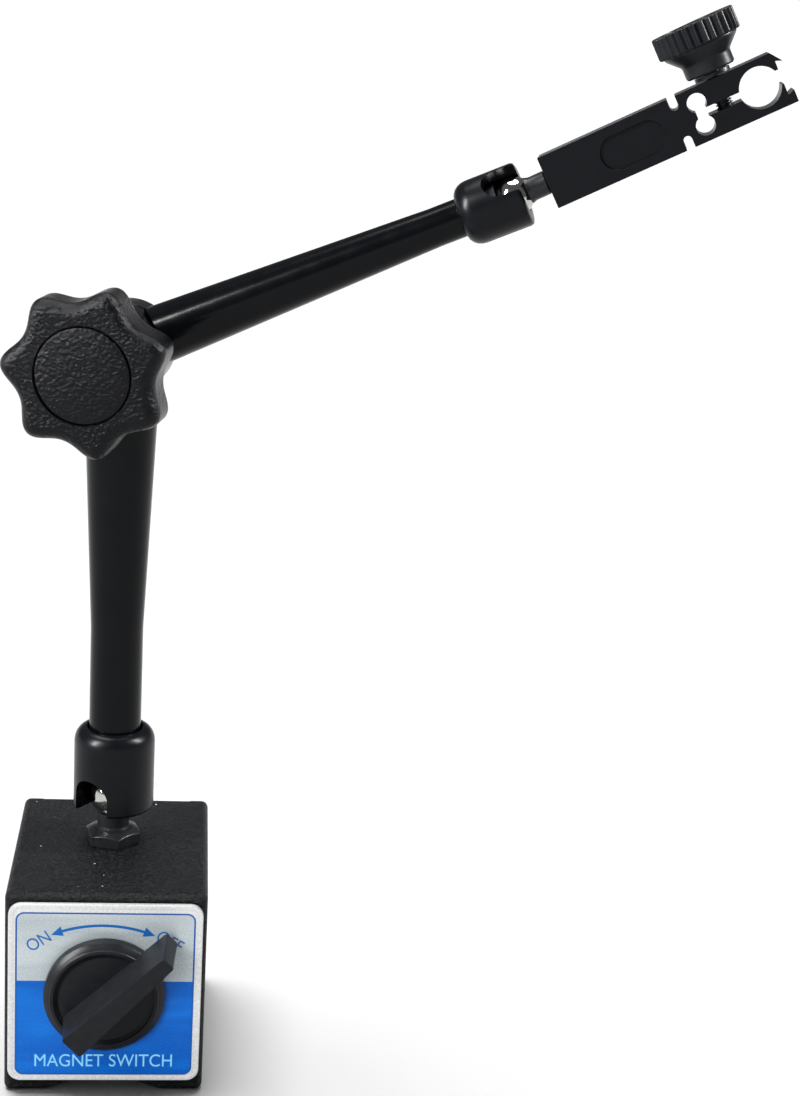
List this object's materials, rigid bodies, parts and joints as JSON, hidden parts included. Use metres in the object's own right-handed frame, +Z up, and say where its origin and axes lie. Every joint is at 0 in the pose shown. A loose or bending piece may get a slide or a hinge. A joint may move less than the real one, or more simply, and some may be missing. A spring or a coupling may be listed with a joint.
{
  "type": "magnetic indicator stand",
  "caption": "Switchable magnetic base with a two-arm universal arm, ball joints at both ends, a star-knob elbow lock and a clamp for an indicator stem or dovetail.",
  "frame": {"origin": "middle of the sole's right-hand land, on the surface that the base stands on; the base's middle is 20.5 mm along -X, where the V-groove leaves no flat face", "axes": "+Z up, -Y out of the labelled front of the base, +X to the right seen from that front"},
  "size_m": [0.18, 0.0765, 0.2756],
  "materials": {
    "crinkle_paint": "fine black crinkle paint on steel, satin, with tiny pale specks",
    "gloss_black": "smooth gloss black coat on steel",
    "satin_black": "satin black coat on steel",
    "black_oxide": "oiled black oxide on machined steel",
    "ball_chrome": "polished bright chrome",
    "bare_steel": "machined bare steel",
    "brass": "machined brass",
    "magnet": "dark ground ferrite",
    "black_plastic": "moulded black plastic, fine matt grain",
    "grained_plastic": "moulded black plastic with a coarse leather grain",
    "label_print": "printed aluminium plate, clear gloss, blue below and silver above"
  },
  "bodies": {
    "base": {"pole_block_left": "crinkle_paint", "pole_block_right": "crinkle_paint", "pole_spacer": "brass", "label_plate": "label_print", "front_bush": "brass", "stop_pin": "bare_steel", "lower_stud": "black_oxide"},
    "rotor": {"rotor_magnet": "magnet", "rotor_shoe_upper": "bare_steel", "rotor_shoe_lower": "bare_steel", "rotor_spindle": "brass", "rotor_tail": "brass", "switch_knob": "black_plastic", "knob_pin": "bare_steel"},
    "lower_ball": {"lower_ball": "ball_chrome"},
    "lower_arm": {"lower_ball_seat": "black_oxide", "lower_cup": "satin_black", "lower_arm": "gloss_black", "lower_push_rod": "bare_steel", "elbow_bolt": "black_oxide", "knob_washer": "bare_steel"},
    "star_knob": {"star_knob": "grained_plastic", "star_knob_cap": "grained_plastic", "knob_insert": "brass"},
    "upper_arm": {"upper_arm": "gloss_black", "upper_cup": "satin_black", "upper_push_rod": "bare_steel"},
    "upper_seat": {"upper_ball_seat": "black_oxide"},
    "ball_stud": {"upper_ball_stud": "ball_chrome"},
    "holder": {"clamp_block": "satin_black"},
    "clamp_screw": {"clamp_screw": "black_oxide", "clamp_knob": "black_plastic"}
  },
  "joints": [
    {"name": "switch_turn", "type": "hinge", "parent": "base", "child": "rotor", "pos_m": [-0.0205, -0.03, 0.029], "axis": [0, -1, 0], "range_deg": [0, 90]},
    {"name": "lower_swivel", "type": "hinge", "parent": "base", "child": "lower_ball", "pos_m": [-0.0205, 0.0028, 0.0683], "axis": [0, 0, 1], "continuous": true},
    {"name": "lower_tilt", "type": "hinge", "parent": "lower_ball", "child": "lower_arm", "pos_m": [-0.0205, 0.0028, 0.0683], "axis": [0.7955, -0.606, 0], "range_deg": [-18, 80]},
    {"name": "elbow_hinge", "type": "hinge", "parent": "lower_arm", "child": "upper_arm", "pos_m": [-0.0205, 0.0028, 0.1858], "axis": [0.213, 0.977, 0], "range_deg": [-158, 28]},
    {"name": "star_knob_turn", "type": "hinge", "parent": "lower_arm", "child": "star_knob", "pos_m": [-0.0205, 0.0028, 0.1858], "axis": [-0.213, -0.977, 0], "range_deg": [0, 360]},
    {"name": "upper_swivel", "type": "hinge", "parent": "upper_arm", "child": "upper_seat", "pos_m": [0.07037, -0.01701, 0.22937], "axis": [0.8848, -0.1929, 0.4242], "range_deg": [-360, 0]},
    {"name": "upper_tilt", "type": "hinge", "parent": "upper_seat", "child": "ball_stud", "pos_m": [0.07037, -0.01701, 0.22937], "axis": [0.1424, -0.7548, -0.6403], "range_deg": [-20, 80]},
    {"name": "holder_turn", "type": "hinge", "parent": "ball_stud", "child": "holder", "pos_m": [0.07037, -0.01701, 0.22937], "axis": [0.8619, -0.1879, 0.471], "continuous": true},
    {"name": "clamp_screw_turn", "type": "hinge", "parent": "holder", "child": "clamp_screw", "pos_m": [0.11553, -0.02686, 0.25405], "axis": [-0.4602, 0.1003, 0.8821], "range_deg": [0, 360]}
  ]
}
